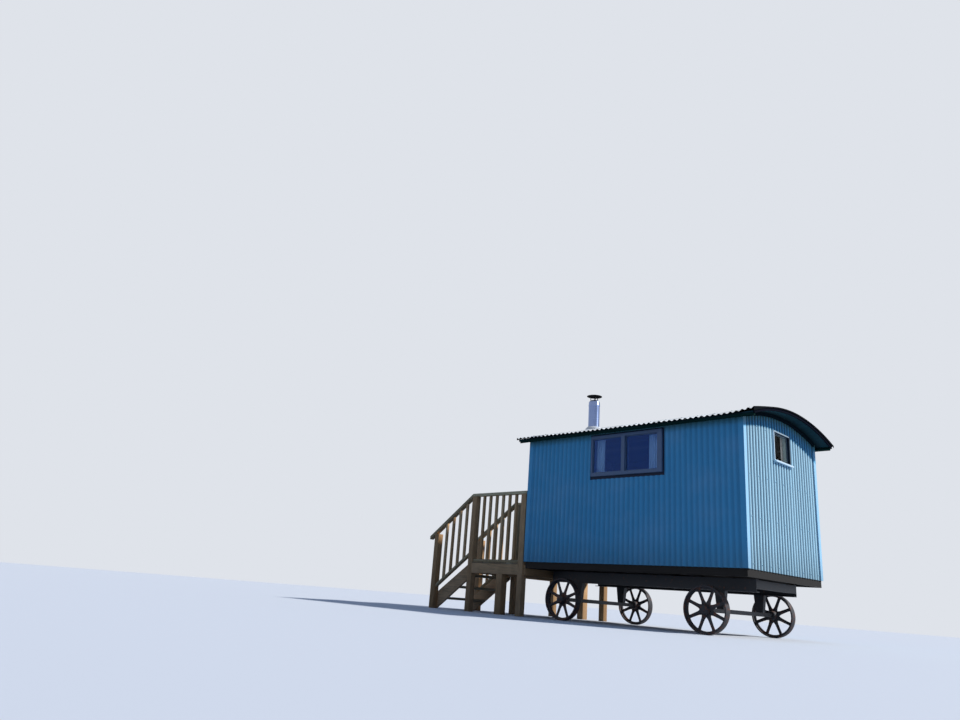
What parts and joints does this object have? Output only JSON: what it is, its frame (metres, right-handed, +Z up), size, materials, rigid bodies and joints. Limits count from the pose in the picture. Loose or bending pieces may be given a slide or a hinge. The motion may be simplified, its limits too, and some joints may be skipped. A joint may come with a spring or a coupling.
{
  "type": "shepherds hut",
  "caption": "Shepherd's hut with an arched corrugated roof, fluted metal walls, windows, a flue and spoked wheels, and a timber landing with a stair at its door end.",
  "frame": {"origin": "on the ground under the middle of the whole outline, on the hut's centre line", "axes": "+X along the hut from the stair to the window end, +Y across it away from the windowed long side, +Z up"},
  "size_m": [5.7726, 2.363, 3.228],
  "materials": {
    "cladding_paint": "weathered gloss paint",
    "galvanised_sheet": "weathered zinc",
    "roof_timber": "weathered",
    "wall_lining": "matt",
    "floor_timber": "worn",
    "window_paint": "weathered paint",
    "end_window_paint": "weathered paint",
    "door_paint": "weathered gloss paint",
    "window_glass": "clear",
    "curtain_cloth": "woven cotton",
    "rod_steel": "satin",
    "flue_stainless": "polished",
    "cap_steel": "sooty",
    "boot_aluminium": "dull",
    "chassis_paint": "satin",
    "wheel_iron": "rusty paint",
    "landing_timber": "weathered"
  },
  "bodies": {
    "root": {"roof_sheet": "galvanised_sheet", "roof_boards": "roof_timber", "ceiling_vault": "wall_lining", "end_fascias": "roof_timber", "eave_battens": "roof_timber", "end_wall_trims": "roof_timber", "window_side_panel": "wall_lining", "plain_side_panel": "wall_lining", "door_end_panel": "wall_lining", "window_end_panel": "wall_lining", "window_side_cladding": "cladding_paint", "plain_side_cladding": "cladding_paint", "door_end_cladding": "cladding_paint", "window_end_cladding": "cladding_paint", "corner_flashings": "cladding_paint", "floor_frame": "roof_timber", "floor_boards": "floor_timber", "chassis_beams": "chassis_paint", "cross_members": "chassis_paint", "axles": "chassis_paint", "axle_bolsters": "chassis_paint", "door_end_near_wheel": "wheel_iron", "door_end_far_wheel": "wheel_iron", "window_end_near_wheel": "wheel_iron", "window_end_far_wheel": "wheel_iron", "side_window_frame": "window_paint", "side_window_sashes": "window_paint", "side_window_glass": "window_glass", "end_window_frame": "end_window_paint", "end_window_glass": "window_glass", "side_curtains": "curtain_cloth", "end_curtains": "curtain_cloth", "curtain_rods": "rod_steel", "door_frame": "door_paint", "stable_door": "door_paint", "flue_pipe": "flue_stainless", "flue_cap": "cap_steel", "flue_boot": "boot_aluminium", "landing_posts": "landing_timber", "landing_joists": "landing_timber", "landing_deck": "landing_timber", "near_balustrade": "landing_timber", "far_balustrade": "landing_timber", "edge_balustrade": "landing_timber", "stair_newels": "landing_timber", "near_stair_balustrade": "landing_timber", "inner_stair_balustrade": "landing_timber", "stair_strings": "landing_timber", "stair_treads": "landing_timber"}
  },
  "joints": []
}
